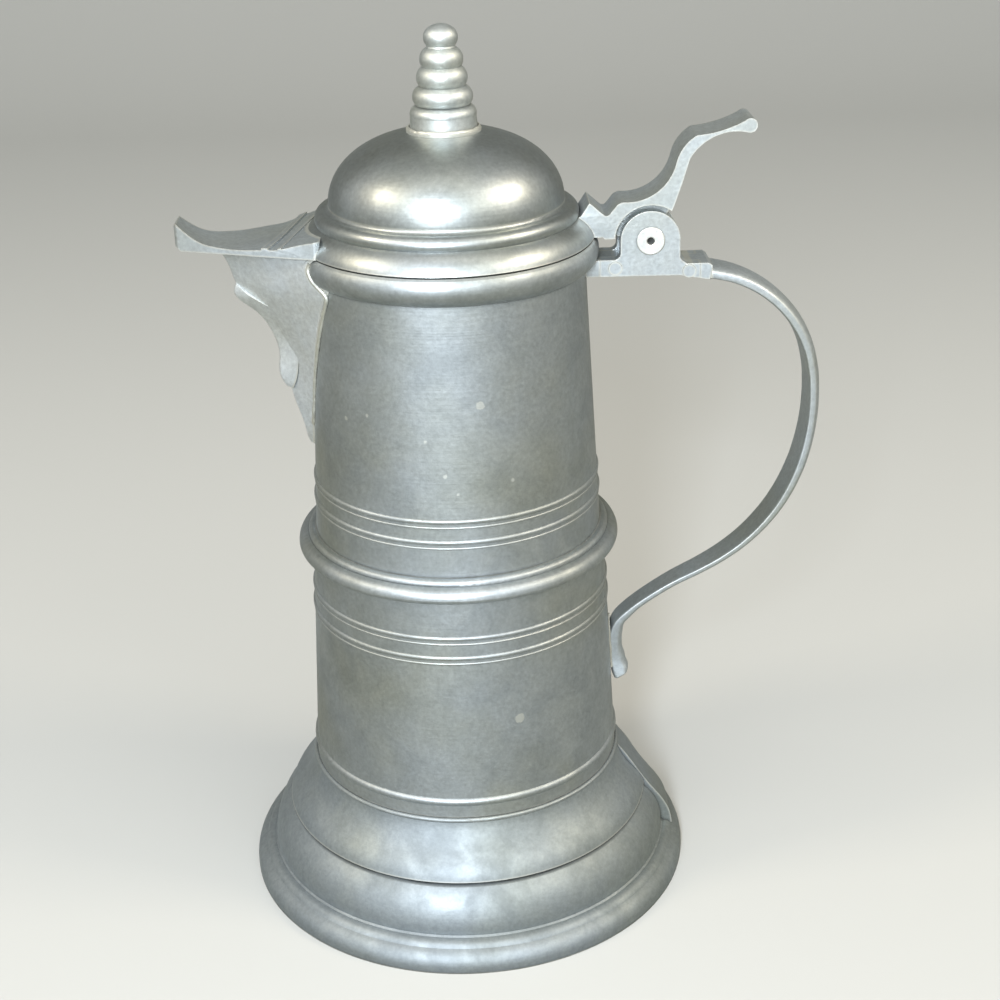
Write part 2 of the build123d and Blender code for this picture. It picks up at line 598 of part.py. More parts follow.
def channel_section(drop):
    """Section of the spout's inside, which runs back through the drum's wall."""
    depth = max(drop, 0.0)
    half = spout_half(depth)
    joint, keel = joint_x(depth, half), keel_x(depth)
    angle = atan2(half, keel - joint)
    front = keel - SPOUT_WALL / sin(angle)
    inner = (front - joint) * half / (keel - joint)
    deep = DRUM_RIM_R - CHANNEL_REACH
    outline = closed((-front, 0), (-joint, inner), (-deep, inner), (-deep, -inner), (-joint, -inner))
    return Plane((0, 0, RIM_Z - drop)) * make_face(outline)


def spout_channel():
    """Inside of the spout, which also opens the collar and the drum's wall behind it."""
    return loft([channel_section(drop) for drop in CHANNEL_DROPS], ruled=True)


def ledge_cut(side):
    """Space above the tongue's upper edge on one side of the spout."""
    front, back = at_front(*LEDGE[0]), at_front(*LEDGE[1])
    start = Vector(front[0], 0, front[1])
    end = Vector(back[0], side * side_half(LEDGE[1][0], -back[0]), back[1])
    plane = Plane(start, z_dir=Vector(0, -1, side).cross(end - start))
    return extrude(plane * Rectangle(2 * FLAP_TIP_X, 2 * FLAP_TIP_X), FLAP_TIP_X)


def spout(core, channel):
    """Beak-shaped spout with a tongue laid over the lower part of its front edge."""
    wedge = loft([wedge_section(drop) for drop, reach, half in KEEL])
    tongue = loft([tongue_section(drop, reach) for drop, reach in TONGUE])
    rear = ThreePointArc(*[at_front(drop, reach) for drop, reach in TONGUE_REAR])
    toe = [at_front(drop, reach) for drop, reach in TONGUE_TOE]
    keep = slab(rear + Polyline(rear @ 1, *toe, (-FLAP_TIP_X, toe[1][1]), (-FLAP_TIP_X, RIM_Z), ((rear @ 0).X, RIM_Z),
                                rear @ 0), spout_half(0))
    tongue = (tongue - ledge_cut(-1) - ledge_cut(1)) & keep
    lip = loft([wedge_section(drop, JOINT_LIP) for drop, reach, half in KEEL]) & body_core(JOINT_LIP)
    return Pos(0, SPOUT_SHIFT, 0) * (wedge + tongue + lip - channel) - core


def flap_side():
    """Side outline of the flap, flat below and dished above, with an upturned tip."""
    top = Spline(*[(-x, LID_Z + height) for x, height in FLAP_TOP])
    tip_h = FLAP_TOP[0][1]
    end = ThreePointArc((-FLAP_TIP_X, LID_Z + tip_h - 1.2), (-FLAP_TIP_X + 0.2, LID_Z + tip_h - 0.4), top @ 0)
    back = (top @ 1).X
    return end + top + Polyline(top @ 1, (back, LID_Z), (-FLAP_TIP_X + 1.6, LID_Z), (-FLAP_TIP_X, LID_Z + 1.6), end @ 0)


def flap_plan():
    """Upright prism of the flap's outline seen from above, with rounded corners."""
    face = make_face(closed((-FLAP_TIP_X, -FLAP_TIP_HALF), (-FLAP_TIP_X, FLAP_TIP_HALF),
                            (-FLAP_ROOT_X, FLAP_ROOT_HALF), (-FLAP_ROOT_X, -FLAP_ROOT_HALF)))
    return Pos(0, 0, LID_Z - 1) * extrude(fillet(face.vertices(), FLAP_CORNER), DOME_BASE_H)


def spout_flap(core):
    """Flap that covers the spout, cut to the brim it is soldered to."""
    plan = flap_plan()
    sheet = slab(flap_side(), FLAP_ROOT_HALF) & plan
    reach = FLAP_ROOT_HALF
    for near, far, width, proud in RIBS:
        line = make_face(closed((-near - width / 2, -reach), (-near + width / 2, -reach),
                                (-far + width / 2, reach), (-far - width / 2, reach)))
        bar = Pos(0, 0, LID_Z) * extrude(line, DOME_BASE_H)
        sheet += (Pos(0, 0, proud) * slab(flap_side(), reach)) & bar & plan
    return Pos(0, SPOUT_SHIFT, 0) * sheet - core


CORE = body_core()
CHANNEL = Pos(0, SPOUT_SHIFT, 0) * spout_channel()
BRIM = brim_core()
NODES = {
    "foot": foot(),
    "base_disc": base_disc(),
    "drum_lower": drum_lower(),
    "drum_upper": drum_upper(CHANNEL),
    "mid_band": mid_band(),
    "rim_collar": rim_collar(CHANNEL),
    "spout": spout(CORE, spout_channel()),
    "handle": handle(CORE),
    "hinge_cheek_near": hinge_cheek(-1),
    "hinge_cheek_far": hinge_cheek(1),
    "cheek_rivets": cheek_rivets(),
    "hinge_pin": hinge_pin(),
    "lid_brim": lid_brim(),
    "lid_dome": lid_dome(),
    "lid_bezel": lid_bezel(),
    "finial_seat": finial_seat(),
    "finial": finial(),
    "finial_screw": finial_screw(),
    "spout_flap": spout_flap(BRIM),
    "thumb_lever": thumb_lever(BRIM),
}
for name, shape in NODES.items():
    export_step(shape, f"parts/{name}.step")
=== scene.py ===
from math import cos, pi, radians, sin

import bmesh
import bpy
from mathutils import Matrix, Vector


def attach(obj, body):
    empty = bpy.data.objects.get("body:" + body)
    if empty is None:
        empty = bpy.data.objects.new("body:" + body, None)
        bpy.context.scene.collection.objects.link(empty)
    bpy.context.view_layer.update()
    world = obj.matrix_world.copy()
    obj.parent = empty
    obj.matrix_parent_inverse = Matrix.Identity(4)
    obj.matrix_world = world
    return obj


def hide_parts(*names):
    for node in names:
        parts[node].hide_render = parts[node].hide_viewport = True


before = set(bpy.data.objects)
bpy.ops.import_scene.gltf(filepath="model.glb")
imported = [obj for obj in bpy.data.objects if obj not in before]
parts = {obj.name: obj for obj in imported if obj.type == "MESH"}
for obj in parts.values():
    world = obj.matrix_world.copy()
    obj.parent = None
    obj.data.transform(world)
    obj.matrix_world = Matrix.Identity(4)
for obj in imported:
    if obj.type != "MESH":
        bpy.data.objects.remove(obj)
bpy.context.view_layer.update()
scene = bpy.context.scene

# Camera: a normal lens at about arm's length, looking down on the pitcher by 24 degrees.
# Its place, turn and tilt were worked out from the ellipses of the foot, the rings and the lid.
LENS = 61.56
SENSOR_WIDTH = 36.0
YAW, LOOK_DOWN, ROLL = 1.5533, 24.0754, 1.5036
EYE = (0.0, -0.504, 0.35480)
view = bpy.data.cameras.new("view_from_the_front")
view.lens = LENS
view.sensor_width = SENSOR_WIDTH
view.clip_start = 0.02
camera = bpy.data.objects.new("view_from_the_front", view)
scene.collection.objects.link(camera)
turn = Matrix.Rotation(radians(-YAW), 4, "Z")
tilt = Matrix.Rotation(radians(90.0 - LOOK_DOWN), 4, "X")
roll = Matrix.Rotation(radians(-ROLL), 4, "Z")
camera.matrix_world = Matrix.Translation(EYE) @ turn @ tilt @ roll
scene.camera = camera
scene.view_settings.view_transform = "Standard"


# Floor: one plain pale surface that sweeps away behind the pitcher, as studio paper does.
# It takes the soft shadow; its own colour gives the plain background.
def linear(hex_colour):
    """Turns an sRGB hex colour into linear red, green, blue and alpha."""
    channels = [int(hex_colour[i:i + 2], 16) / 255 for i in (1, 3, 5)]
    return tuple(c / 12.92 if c <= 0.04045 else ((c + 0.055) / 1.055) ** 2.4 for c in channels) + (1.0,)


def add(tree, kind, settings=None, **sockets):
    """Adds a node with its settings; a socket, by name or by number as in _6, takes a value or an output."""
    node = tree.nodes.new(kind)
    for name, value in (settings or {}).items():
        setattr(node, name, value)
    for name, value in sockets.items():
        key = int(name[1:]) if name[0] == "_" and name[1:].isdigit() else name.replace("_", " ")
        if isinstance(value, bpy.types.NodeSocket):
            tree.links.new(value, node.inputs[key])
        else:
            node.inputs[key].default_value = value
    return node


paper = bpy.data.materials.new("matt_studio_paper")
paper.use_nodes = True
surface = paper.node_tree.nodes["Principled BSDF"]
# The metal reflects a darker floor than the camera sees, so that its sides keep their depth
ray = add(paper.node_tree, "ShaderNodeLightPath")
seen = add(paper.node_tree, "ShaderNodeMix", {"data_type": "RGBA"}, Factor=ray.outputs["Is Glossy Ray"],
           _6=linear("#C2C2BF"), _7=linear("#828279"))
paper.node_tree.links.new(seen.outputs[2], surface.inputs["Base Color"])
surface.inputs["Roughness"].default_value = 0.9
floor_mesh = bpy.data.meshes.new("studio_floor")
FRONT_EDGE = -2.5
SWEEP_START = 1.2
SWEEP_RADIUS = 0.8
WALL_TOP = 3.0
HALF_WIDTH = 3.0
profile = [(FRONT_EDGE, 0.0), (SWEEP_START, 0.0)]
profile += [(SWEEP_START + SWEEP_RADIUS * sin(radians(a)), SWEEP_RADIUS * (1 - cos(radians(a))))
            for a in range(6, 91, 6)]
profile.append((SWEEP_START + SWEEP_RADIUS, WALL_TOP))
corners = [(side * HALF_WIDTH, y, z) for y, z in profile for side in (-1, 1)]
strips = [(2 * i, 2 * i + 1, 2 * i + 3, 2 * i + 2) for i in range(len(profile) - 1)]
floor_mesh.from_pydata(corners, [], strips)
floor_mesh.materials.append(paper)
for face in floor_mesh.polygons:
    face.use_smooth = True
floor = bpy.data.objects.new("studio_floor", floor_mesh)
scene.collection.objects.link(floor)


# Light: a pale panel behind the camera and one on each side, a tall lamp in front, which draws the
# glow down the drum, two small warm lamps on both sides, which leave warm spots on the dome, and
# a faint lamp above.
LAMP_AIM = Vector((0.0, 0.0, 0.16))


def soft_lamp(name, azimuth, elevation, distance, width, height, watts, colour):
    """Rectangular lamp that looks at the middle of the pitcher."""
    lamp = bpy.data.lights.new(name, "AREA")
    lamp.shape = "RECTANGLE"
    lamp.size = width
    lamp.size_y = height
    lamp.energy = watts
    lamp.color = linear(colour)[:3]
    holder = bpy.data.objects.new(name, lamp)
    scene.collection.objects.link(holder)
    away = Vector((sin(radians(azimuth)) * cos(radians(elevation)),
                   -cos(radians(azimuth)) * cos(radians(elevation)), sin(radians(elevation))))
    holder.matrix_world = (Matrix.Translation(LAMP_AIM + away * distance)
                           @ away.to_track_quat("Z", "Y").to_matrix().to_4x4())


soft_lamp("wall_panel", -6.0, 32.0, 2.0, 2.2, 1.8, 10.0, "#ECF5FF")
soft_lamp("front_lamp", -10.5, 22.0, 1.25, 0.15, 0.40, 16.0, "#ECF5FF")
soft_lamp("left_lamp", -72.0, 38.0, 1.25, 0.24, 0.24, 4.0, "#FFF0D6")
soft_lamp("right_lamp", 74.0, 38.0, 1.25, 0.32, 0.30, 4.6, "#FFF0D6")
soft_lamp("right_panel", 48.0, 34.0, 1.9, 1.3, 1.1, 9.0, "#FBF8F0")
soft_lamp("left_panel", -52.0, 34.0, 1.9, 1.0, 1.1, 4.0, "#F6F8F6")
soft_lamp("top_lamp", 0.0, 74.0, 1.4, 1.3, 0.6, 2.0, "#FFFBF2")
room = bpy.data.worlds.new("pale_room")
room.use_nodes = True
room.node_tree.nodes["Background"].inputs["Color"].default_value = linear("#BBBDBA")
room.node_tree.nodes["Background"].inputs["Strength"].default_value = 0.98
scene.world = room


# Foot: one hollow casting of old pewter, its mouldings cut on the lathe and dulled by two centuries of
# wiping: a satin grey with cloudy patches, fine specks and painted shade in its grooves.
def old_pewter(name, low, high, warm, gloss, grain_bump, lathe_bump, flakes=(), most_groove_shade=0.9):
    """Old pewter between two greys: cloudy, speckled and spotted, with painted shade in its grooves and its
    edges painted paler, partly as wear and partly as a painted highlight.

    gloss is the least and the most roughness; flakes are places and radii of flaked spots in mm.
    """
    metal = bpy.data.materials.new(name)
    metal.use_nodes = True
    tree = metal.node_tree
    links = tree.links
    shader = tree.nodes["Principled BSDF"]
    shader.inputs["Metallic"].default_value = 1.0
    place = add(tree, "ShaderNodeTexCoord").outputs["Object"]
    # Clouds of 14 mm, as the skin of oxide grows, between a darker and a paler grey
    clouds = add(tree, "ShaderNodeTexNoise", Vector=place, Scale=70.0, Detail=6.0, Roughness=0.62,
                 Distortion=0.5)
    patch = add(tree, "ShaderNodeMapRange", Value=clouds.outputs["Fac"], From_Min=0.36, From_Max=0.64)
    tone = add(tree, "ShaderNodeMix", {"data_type": "RGBA"}, Factor=patch.outputs["Result"],
               _6=linear(low), _7=linear(high))
    # A warmer cast in patches of 45 mm, left by handling and old polish
    handled = add(tree, "ShaderNodeTexNoise", Vector=place, Scale=22.0, Detail=3.0, Roughness=0.5)
    warmth = add(tree, "ShaderNodeMapRange", Value=handled.outputs["Fac"], From_Min=0.45, From_Max=0.68,
                 To_Max=0.75)
    tinted = add(tree, "ShaderNodeMix", {"data_type": "RGBA", "blend_type": "MULTIPLY"},
                 Factor=warmth.outputs["Result"], _6=tone.outputs[2], _7=linear(warm))
    # Specks of 1.2 mm: the sand-cast grain, drawn a little coarser than the real 0.6 mm to show
    grain = add(tree, "ShaderNodeTexNoise", Vector=place, Scale=800.0, Detail=4.0, Roughness=0.7)
    speck = add(tree, "ShaderNodeMapRange", Value=grain.outputs["Fac"], From_Min=0.3, From_Max=0.7,
                To_Min=0.88, To_Max=1.10)
    speckled = add(tree, "ShaderNodeVectorMath", {"operation": "SCALE"}, _0=tinted.outputs[2],
                   Scale=speck.outputs["Result"])
    # Pale spots of about 1 mm where the skin has flaked, one in every few cells of 16 mm
    cells = add(tree, "ShaderNodeTexVoronoi", Vector=place, Scale=62.0)
    ragged = add(tree, "ShaderNodeMath", {"operation": "MULTIPLY_ADD"}, _0=grain.outputs["Fac"], _1=0.09,
                 _2=cells.outputs["Distance"])
    spot = add(tree, "ShaderNodeMapRange", Value=ragged.outputs[0], From_Min=0.075, From_Max=0.095,
               To_Min=0.6, To_Max=0.0)
    pick = add(tree, "ShaderNodeMath", {"operation": "GREATER_THAN"}, _0=cells.outputs["Color"], _1=0.72)
    flaked = add(tree, "ShaderNodeMath", {"operation": "MULTIPLY"}, _0=spot.outputs["Result"],
                 _1=pick.outputs[0])
    # The larger ones where the photograph shows them, each with a ragged soft rim
    for middle, radius in flakes:
        apart = add(tree, "ShaderNodeVectorMath", {"operation": "DISTANCE"}, _0=place,
                    _1=tuple(v / 1000 for v in middle))
        edge = add(tree, "ShaderNodeMath", {"operation": "MULTIPLY_ADD"}, _0=grain.outputs["Fac"],
                   _1=0.0016, _2=apart.outputs["Value"])
        within = add(tree, "ShaderNodeMapRange", Value=edge.outputs[0], From_Min=radius / 1000 + 0.0007,
                     From_Max=radius / 1000 + 0.0010, To_Min=0.8, To_Max=0.0)
        flaked = add(tree, "ShaderNodeMath", {"operation": "MAXIMUM"}, _0=flaked.outputs[0],
                     _1=within.outputs["Result"])
    # Painted shade in grooves and corners up to 1.6 mm wide, made patchy by the clouds
    corner = add(tree, "ShaderNodeAmbientOcclusion", {"samples": 8}, Distance=0.0016)
    groove_shade = add(tree, "ShaderNodeMapRange", Value=corner.outputs["AO"], From_Min=0.35, From_Max=0.88,
               To_Min=most_groove_shade, To_Max=0.0)
    patchy_groove_shade = add(tree, "ShaderNodeMath", {"operation": "MULTIPLY"}, _0=groove_shade.outputs["Result"],
                _1=clouds.outputs["Fac"])
    groove_shade_mask = add(tree, "ShaderNodeMath", {"operation": "MULTIPLY", "use_clamp": True},
                  _0=patchy_groove_shade.outputs[0], _1=1.9)
    pale = add(tree, "ShaderNodeMix", {"data_type": "RGBA"}, Factor=flaked.outputs[0],
               _6=speckled.outputs[0], _7=linear("#D9DBD6"))
    # Edges and reeds painted paler, partly as wear and partly as a painted highlight: within 0.7 mm the metal
    # ends on the other side
    thin = add(tree, "ShaderNodeAmbientOcclusion", {"samples": 8, "inside": True}, Distance=0.0007)
    edge_wear_and_highlight = add(tree, "ShaderNodeMapRange", Value=thin.outputs["AO"], From_Min=0.50, From_Max=0.97,
                 To_Min=0.75, To_Max=0.0)
    edges_worn_and_highlit = add(tree, "ShaderNodeMix", {"data_type": "RGBA"}, Factor=edge_wear_and_highlight.outputs["Result"],
                _6=pale.outputs[2], _7=linear("#E6E5DC"))
    # Painted shade: the groove mask mixes in a dark grey
    colour = add(tree, "ShaderNodeMix", {"data_type": "RGBA"}, Factor=groove_shade_mask.outputs[0],
                 _6=edges_worn_and_highlit.outputs[2], _7=linear("#34352F"))
    links.new(colour.outputs[2], shader.inputs["Base Color"])
    # The skin is duller where it is dark and where shade is painted in the grooves, and a little brighter
    # where it is pale
    worn = add(tree, "ShaderNodeMapRange", Value=patch.outputs["Result"], To_Min=gloss[1], To_Max=gloss[0])
    dull = add(tree, "ShaderNodeMath", {"operation": "MULTIPLY_ADD"}, _0=groove_shade_mask.outputs[0], _1=0.35,
               _2=worn.outputs["Result"])
    sheen = add(tree, "ShaderNodeMath", {"operation": "MULTIPLY_ADD"}, _0=grain.outputs["Fac"], _1=0.10,
                _2=dull.outputs[0])
    links.new(sheen.outputs[0], shader.inputs["Roughness"])
    # Relief: soft waves of 9 mm, the cast grain, and fine rings of the lathe 0.8 mm apart
    waves = add(tree, "ShaderNodeTexNoise", Vector=place, Scale=110.0, Detail=2.0, Roughness=0.4)
    soft = add(tree, "ShaderNodeBump", Strength=0.35, Distance=0.0004, Height=waves.outputs["Fac"])
    cast_skin = add(tree, "ShaderNodeBump", Strength=grain_bump, Distance=0.0001, Height=grain.outputs["Fac"],
                    Normal=soft.outputs["Normal"])
    stretch = add(tree, "ShaderNodeVectorMath", {"operation": "MULTIPLY"}, _0=place, _1=(9.0, 9.0, 1250.0))
    rings = add(tree, "ShaderNodeTexNoise", Vector=stretch.outputs[0], Scale=1.0, Detail=2.0, Roughness=0.6)
    turned = add(tree, "ShaderNodeBump", Strength=lathe_bump, Distance=0.0001, Height=rings.outputs["Fac"],
                 Normal=cast_skin.outputs["Normal"])
    links.new(turned.outputs["Normal"], shader.inputs["Normal"])
    return metal


def finish(material, *names):
    """Gives CAD pieces their material."""
    for name in names:
        for slot in parts[name].material_slots:
            slot.material = material


# The duller and darker grey of metal that is seldom touched
foot_metal = old_pewter("dulled_foot_pewter", "#959CA0", "#A5ACB0", "#F4F1E4", (0.52, 0.62), 0.35, 0.25)
finish(foot_metal, "foot")

# Drum: two tapered castings turned smooth, the band that hides their joint, and the collar at
# the mouth. The base disc is soldered inside and has never been polished.
#
# Flaked spots seen on the drum: place and radius in mm
FLAKES = (((7.5, -42.3, 178.4), 1.15), ((16.9, -46.1, 75.6), 1.5), ((-3.4, -43.9, 157.2), 0.5),
          ((-32.2, -29.1, 171.0), 0.6), ((-25.6, -34.8, 173.7), 0.5), ((16.5, -41.0, 154.2), 0.5),
          ((0.2, -44.3, 151.5), 0.4), ((-8.8, -42.6, 167.9), 0.4))
# A satin grey with one broad glow down the front, its flaked spots and bright reeds
satin = old_pewter("satin_turned_pewter", "#A5ABAE", "#BCC2C5", "#F2EEDE", (0.42, 0.50), 0.35, 0.25,
                   FLAKES)
finish(satin, "drum_lower", "drum_upper", "mid_band", "rim_collar")
# The dark matt grey of metal that no hand reaches
inside = old_pewter("dull_inner_pewter", "#6E7474", "#8B9191", "#EFEAD6", (0.5, 0.6), 0.6, 0.3)
finish(inside, "base_disc")

# Spout: thin cast walls soldered to the drum, with a tongue laid over the lower part of the front edge. Its
# flat sides are more matt than the drum, and their grey is painted paler as painted light, so that they come
# out brightly lit. The cast metal is a pale bluish grey with a fine grain and little painted groove shade;
# the handle, the cheeks, the flap and the thumb lever are of it too.
cast = old_pewter("cast_pewter", "#BEC5C9", "#D0D6DA", "#F5F2E6", (0.42, 0.52), 0.6, 0.0, most_groove_shade=0.4)
# A paler copy of the cast grey for the spout: painted light on its flat sides
spout_metal = old_pewter("spout_pewter_painted_lighter", "#D8DDE1", "#E6EAED", "#F6F3EA", (0.50, 0.60), 0.5, 0.0,
                         most_groove_shade=0.5)
finish(spout_metal, "spout")

# Filed edges: a piece whose edges were rounded with a file is a copy of its solid with soft ones.
# Lengths in m, angles in degrees.
MERGE = 1e-6
FLAT_ANGLE = 0.8
CORNER_ANGLE = 28.0
FACET_ANGLE = 12.0


def softened(name, node, body, material, width, steps=2):
    """Copy of a CAD piece with merged faces and softly rounded edges, which takes its place."""
    mesh = parts[node].data.copy()
    mesh.name = name
    shape = bmesh.new()
    shape.from_mesh(mesh)
    bmesh.ops.remove_doubles(shape, verts=shape.verts, dist=MERGE)
    bmesh.ops.dissolve_limit(shape, angle_limit=radians(FLAT_ANGLE), verts=shape.verts, edges=shape.edges)
    shape.to_mesh(mesh)
    shape.free()
    piece = bpy.data.objects.new(name, mesh)
    scene.collection.objects.link(piece)
    round_off = piece.modifiers.new("filed_edges", "BEVEL")
    round_off.width = width
    round_off.segments = steps
    round_off.limit_method = "ANGLE"
    round_off.angle_limit = radians(CORNER_ANGLE)
    graph = bpy.context.evaluated_depsgraph_get()
    finished = bpy.data.meshes.new_from_object(piece.evaluated_get(graph))
    piece.modifiers.clear()
    piece.data = finished
    finished.set_sharp_from_angle(angle=radians(FACET_ANGLE))
    finished.materials.clear()
    finished.materials.append(material)
    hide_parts(node)
    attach(piece, body)
    return piece


# Handle: the block under the hinge and a crowned strap, cast in one, soldered to the collar and
# to the drum, where it ends in a thicker curled tail. The strap's edges are worn round, so it is
# swept here as a rounded section along the line of its inner face.
#
# Places are x and z: the hinge's axis, the strap's start seen from it, two arcs as radius and
# turn, then points down to the tail's end.
PIVOT = (0.0606, 0.2158)
STRAP_START = (0.0181, -0.0126)
STRAP_HEADING = -7.9
STRAP_ARCS = ((0.0371, 74.4), (0.0741, 25.7))
STRAP_LOW = ((0.1045, 0.1314), (0.1008, 0.1248), (0.0962, 0.1187), (0.0908, 0.1132), (0.0846, 0.1084),
             (0.0778, 0.1043), (0.0703, 0.1004), (0.0645, 0.0969), (0.0587, 0.0929), (0.0541, 0.0892),
             (0.0507, 0.0856), (0.0490, 0.0816), (0.0486, 0.0768), (0.0488, 0.0722), (0.0493, 0.0682),
             (0.0501, 0.0650), (0.0513, 0.0627))
# Sizes against the distance from the tail's end: half the width, thickness at the side, crown;
# and how the tail's end is rounded
STRAP_HALF = ((0.0, 0.0046), (0.010, 0.00375), (0.030, 0.0043), (0.113, 0.00685), (0.205, 0.00725))
STRAP_SIDE = ((0.0, 0.0044), (0.004, 0.0050), (0.008, 0.0043), (0.013, 0.0036), (0.019, 0.0035),
              (0.026, 0.0025), (0.034, 0.0019), (0.050, 0.0018), (0.113, 0.0026), (0.205, 0.0030))
STRAP_CROWN = ((0.0, 0.0008), (0.010, 0.0012), (0.040, 0.0013), (0.113, 0.0016), (0.205, 0.0010))
TAIL_ROUND = 0.0016
TAIL_LEAST = 0.45
TAIL_POWER = 2.2
# Points between two points of the line, how square the section is (1 is a circle's power), and
# where the solid's block ends: its lower limit, and x seen from the hinge's axis
STEPS = 6
SQUARENESS = 0.36
BLOCK_LOW = 0.19
BLOCK_END = 0.0188


def between(steps, at):
    """Value at a place on a smooth line through (place, value) pairs."""
    for (p0, v0), (p1, v1) in zip(steps, steps[1:]):
        if at <= p1:
            share = (at - p0) / (p1 - p0)
            return v0 + (v1 - v0) * share * share * (3 - 2 * share)
    return steps[-1][1]


def through(points, steps):
    """Points on a smooth line that passes through the given ones."""
    ends = [points[0]] + list(points) + [points[-1]]
    line = []
    for a, b, c, d in zip(ends, ends[1:], ends[2:], ends[3:]):
        for i in range(steps):
            t = i / steps
            line.append(tuple(0.5 * (2 * q + (r - p) * t + (2 * p - 5 * q + 4 * r - u) * t * t
                                     + (3 * q - p - 3 * r + u) * t ** 3) for p, q, r, u in zip(a, b, c, d)))
    return line + [points[-1]]


corner_points = [(PIVOT[0] + STRAP_START[0], PIVOT[1] + STRAP_START[1])]
heading = STRAP_HEADING
for radius, turn_by in STRAP_ARCS:
    px, pz = corner_points[-1]
    middle_x, middle_z = px + radius * sin(radians(heading)), pz - radius * cos(radians(heading))
    for i in range(1, STEPS + 1):
        angle = radians(heading - turn_by * i / STEPS)
        corner_points.append((middle_x - radius * sin(angle), middle_z + radius * cos(angle)))
    heading -= turn_by
strap_line = through(corner_points + list(STRAP_LOW), STEPS)
left_over = [0.0]
for (x0, z0), (x1, z1) in zip(strap_line[::-1], strap_line[-2::-1]):
    left_over.insert(0, left_over[0] + ((x1 - x0) ** 2 + (z1 - z0) ** 2) ** 0.5)
path_mesh = bpy.data.meshes.new("strap_path")
path_mesh.from_pydata([(x, 0.0, z) for x, z in strap_line],
                      [(i, i + 1) for i in range(len(strap_line) - 1)], [])
along = {name: [between(sizes, d) for d in left_over]
         for name, sizes in (("half", STRAP_HALF), ("side", STRAP_SIDE), ("crown", STRAP_CROWN))}
along["tail_round"] = [max(TAIL_LEAST, 1.0 - max(0.0, 1.0 - d / TAIL_ROUND) ** TAIL_POWER) for d in left_over]
for name, values in along.items():
    path_mesh.attributes.new(name, "FLOAT", "POINT").data.foreach_set("value", values)

# The sweep: a circle is squared to a rounded section, and each point of it is then placed from
# the path's own point, its direction and the sizes that the path carries.
sweep = bpy.data.node_groups.new("crowned_strap", "GeometryNodeTree")
for name, kind in (("Path", "Geometry"), ("Squareness", "Float"), ("Metal", "Material")):
    sweep.interface.new_socket(name, in_out="INPUT", socket_type="NodeSocket" + kind)
sweep.interface.new_socket("Strap", in_out="OUTPUT", socket_type="NodeSocketGeometry")
given = add(sweep, "NodeGroupInput")
bare = add(sweep, "GeometryNodeMeshToCurve", Mesh=given.outputs["Path"])
here = add(sweep, "GeometryNodeInputPosition")
ahead = add(sweep, "GeometryNodeInputTangent")
with_spine = add(sweep, "GeometryNodeStoreNamedAttribute", {"data_type": "FLOAT_VECTOR", "domain": "POINT"},
                 Geometry=bare.outputs[0], Name="spine", Value=here.outputs[0])
path = add(sweep, "GeometryNodeStoreNamedAttribute", {"data_type": "FLOAT_VECTOR", "domain": "POINT"},
           Geometry=with_spine.outputs[0], Name="ahead", Value=ahead.outputs[0])
ring = add(sweep, "GeometryNodeCurvePrimitiveCircle", Resolution=56, Radius=1.0)
parts_of = add(sweep, "ShaderNodeSeparateXYZ", Vector=here.outputs[0])
squared = []
for axis in (0, 1):
    size = add(sweep, "ShaderNodeMath", {"operation": "ABSOLUTE"}, _0=parts_of.outputs[axis])
    power = add(sweep, "ShaderNodeMath", {"operation": "POWER"}, _0=size.outputs[0],
                _1=given.outputs["Squareness"])
    way = add(sweep, "ShaderNodeMath", {"operation": "SIGN"}, _0=parts_of.outputs[axis])
    squared.append(add(sweep, "ShaderNodeMath", {"operation": "MULTIPLY"}, _0=power.outputs[0],
                       _1=way.outputs[0]))
across = add(sweep, "GeometryNodeStoreNamedAttribute", {"data_type": "FLOAT", "domain": "POINT"},
             Geometry=ring.outputs[0], Name="across", Value=squared[0].outputs[0])
section = add(sweep, "GeometryNodeStoreNamedAttribute", {"data_type": "FLOAT", "domain": "POINT"},
              Geometry=across.outputs[0], Name="over", Value=squared[1].outputs[0])
tube = add(sweep, "GeometryNodeCurveToMesh", Curve=path.outputs[0], Profile_Curve=section.outputs[0],
           Fill_Caps=True)
read = {}
for name in ("spine", "ahead", "across", "over", "half", "side", "crown", "tail_round"):
    kind = "FLOAT_VECTOR" if name in ("spine", "ahead") else "FLOAT"
    read[name] = add(sweep, "GeometryNodeInputNamedAttribute", {"data_type": kind}, Name=name).outputs[0]
wide = add(sweep, "ShaderNodeMath", {"operation": "MULTIPLY"}, _0=read["half"], _1=read["tail_round"])
sideways = add(sweep, "ShaderNodeMath", {"operation": "MULTIPLY"}, _0=wide.outputs[0], _1=read["across"])
square = add(sweep, "ShaderNodeMath", {"operation": "MULTIPLY"}, _0=read["across"], _1=read["across"])
falling = add(sweep, "ShaderNodeMath", {"operation": "SUBTRACT"}, _0=1.0, _1=square.outputs[0])
thick = add(sweep, "ShaderNodeMath", {"operation": "MULTIPLY_ADD"}, _0=falling.outputs[0], _1=read["crown"],
            _2=read["side"])
rounded = add(sweep, "ShaderNodeMath", {"operation": "MULTIPLY"}, _0=read["over"], _1=read["tail_round"])
share = add(sweep, "ShaderNodeMath", {"operation": "MULTIPLY_ADD"}, _0=rounded.outputs[0], _1=0.5, _2=0.5)
outward = add(sweep, "ShaderNodeMath", {"operation": "MULTIPLY"}, _0=share.outputs[0], _1=thick.outputs[0])
out_way = add(sweep, "ShaderNodeVectorMath", {"operation": "CROSS_PRODUCT"}, _0=read["ahead"],
              _1=(0.0, 1.0, 0.0))
lifted = add(sweep, "ShaderNodeVectorMath", {"operation": "SCALE"}, _0=out_way.outputs[0],
             Scale=outward.outputs[0])
aside = add(sweep, "ShaderNodeCombineXYZ", Y=sideways.outputs[0])
